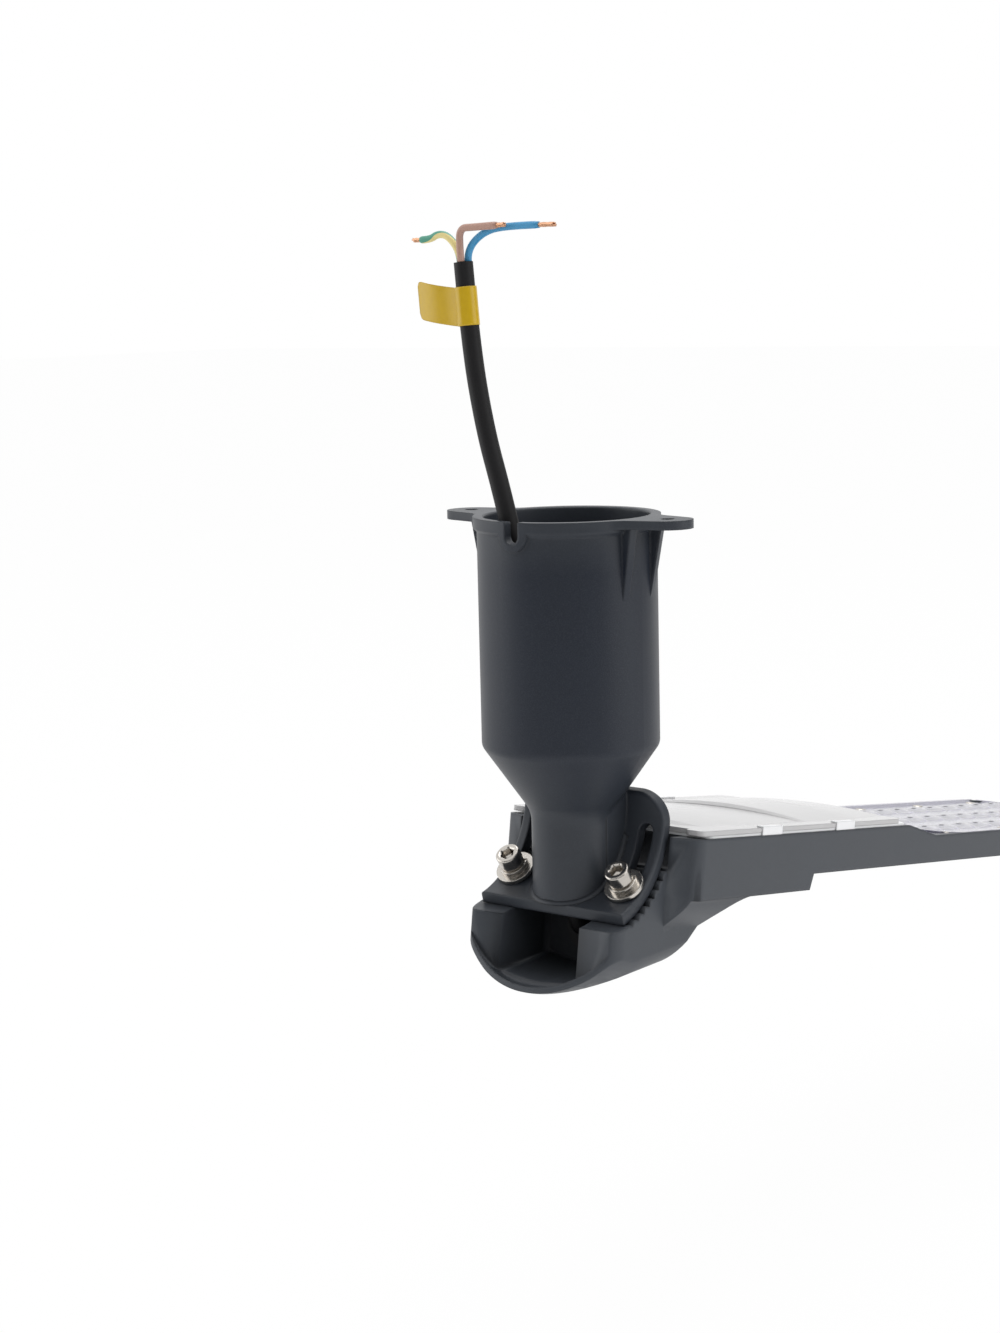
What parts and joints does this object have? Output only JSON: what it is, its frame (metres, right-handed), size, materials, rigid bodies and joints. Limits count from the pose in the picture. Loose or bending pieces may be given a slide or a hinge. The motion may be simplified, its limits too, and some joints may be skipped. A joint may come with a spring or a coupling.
{
  "type": "street light head",
  "caption": "Slim LED street light head hung from a tilting pole socket with toothed seat, two screws, milky driver cover, lens panel and supply cable.",
  "frame": {"origin": "centre of the pole socket's mouth, in the plane of the two ear holes", "axes": "+Z out of the mouth along the socket, the way the pole leaves; +Y towards the front end of the lamp head; +X along the two ears"},
  "size_m": [0.1142, 0.4607, 0.3181],
  "materials": {
    "cast_grey": "fine textured dark blue-grey powder coat",
    "steel": "stainless, lightly brushed",
    "milky": "milky white translucent plastic",
    "white_rubber": "soft white silicone",
    "black_rubber": "matte black",
    "cable_black": "satin black cable sheath",
    "green_yellow": "green core with a yellow stripe",
    "brown": "brown core",
    "blue": "blue core",
    "copper": "bare copper strands",
    "tag_yellow": "yellow film, bare of print",
    "driver_white": "white moulded case",
    "terminal_white": "cream plastic",
    "surge_blue": "potted black case",
    "board_white": "white solder mask on aluminium",
    "chip_yellow": "yellow phosphor package",
    "lens_clear": "clear moulded lens plastic, faint lilac",
    "clip_white": "bright white plastic",
    "lead_white": "white sheathed lead"
  },
  "bodies": {
    "spigot": {"pole_spigot": "cast_grey", "neck_bush": "black_rubber", "supply_cable": "cable_black", "earth_core": "green_yellow", "live_core": "brown", "neutral_core": "blue", "core_strands": "copper", "cable_tag": "tag_yellow"},
    "head": {"head_housing": "cast_grey", "tilt_screws": "steel", "spring_washers": "steel", "flat_washers": "steel", "driver_cover": "milky", "cover_gasket": "white_rubber", "cover_clips": "clip_white", "led_driver": "driver_white", "driver_screws": "steel", "terminal_block": "terminal_white", "surge_protector": "surge_blue", "lead_in": "lead_white", "lead_out": "lead_white", "led_board": "board_white", "board_connector": "terminal_white", "led_chips": "chip_yellow", "lens_panel": "lens_clear", "lens_screws": "steel", "wall_grommet": "black_rubber", "inner_lead": "cable_black", "earth_screw": "steel", "vent_plug": "black_rubber", "cable_loop": "cable_black"}
  },
  "joints": [
    {"name": "tilt", "type": "hinge", "parent": "spigot", "child": "head", "pos_m": [0, -0.0242, -0.1145], "axis": [1, 0, 0], "range_deg": [-5.5, 22], "deforming": ["cable_loop"]}
  ]
}
